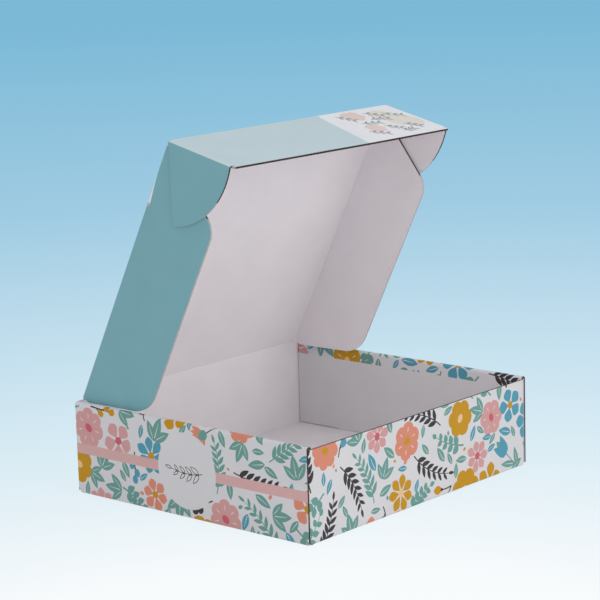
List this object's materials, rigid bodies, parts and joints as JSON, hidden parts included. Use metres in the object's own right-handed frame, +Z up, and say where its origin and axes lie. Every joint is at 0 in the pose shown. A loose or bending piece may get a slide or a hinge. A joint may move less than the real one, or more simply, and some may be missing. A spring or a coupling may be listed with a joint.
{
  "type": "corrugated mailer box",
  "caption": "Folded corrugated mailer box with rolled side walls and a hinged tuck lid that has side flaps and rounded ears, standing half open.",
  "frame": {"origin": "middle of the floor's underside, on the surface the box stands on", "axes": "+X along the lid's fold, +Y from the front wall to the back wall, +Z up"},
  "size_m": [0.252, 0.224, 0.2676],
  "materials": {
    "board": "coated white liner, printed outside"
  },
  "bodies": {
    "tray": {"tray": "board"},
    "lid": {"lid_panel": "board"},
    "tuck": {"tuck_flap": "board"},
    "left_flap": {"left_side_flap": "board"},
    "right_flap": {"right_side_flap": "board"},
    "left_ear": {"left_ear": "board"},
    "right_ear": {"right_ear": "board"}
  },
  "joints": [
    {"name": "lid_fold", "type": "hinge", "parent": "tray", "child": "lid", "pos_m": [0, 0.11125, 0.07025], "axis": [-1, 0, 0], "range_deg": [-63.35, 131.65]},
    {"name": "tuck_fold", "type": "hinge", "parent": "lid", "child": "tuck", "pos_m": [0, 0.01257, 0.26688], "axis": [-1, 0, 0], "range_deg": [-29.51, 60.24]},
    {"name": "left_flap_fold", "type": "hinge", "parent": "lid", "child": "left_flap", "pos_m": [-0.1176, 0.11058, 0.06991], "axis": [0, -0.4485, 0.8938], "range_deg": [0, 80]},
    {"name": "right_flap_fold", "type": "hinge", "parent": "lid", "child": "right_flap", "pos_m": [0.1176, 0.11058, 0.06991], "axis": [0, 0.4485, -0.8938], "range_deg": [0, 80]},
    {"name": "left_ear_fold", "type": "hinge", "parent": "tuck", "child": "left_ear", "pos_m": [-0.12015, 0.01257, 0.26688], "axis": [0, 0.9722, 0.2343], "range_deg": [0, 90]},
    {"name": "right_ear_fold", "type": "hinge", "parent": "tuck", "child": "right_ear", "pos_m": [0.12015, 0.01257, 0.26688], "axis": [0, -0.9722, -0.2343], "range_deg": [0, 90]}
  ],
  "couplings": [
    {"joint": "tuck_fold", "follows": "lid_fold", "ratio": 0.45}
  ]
}
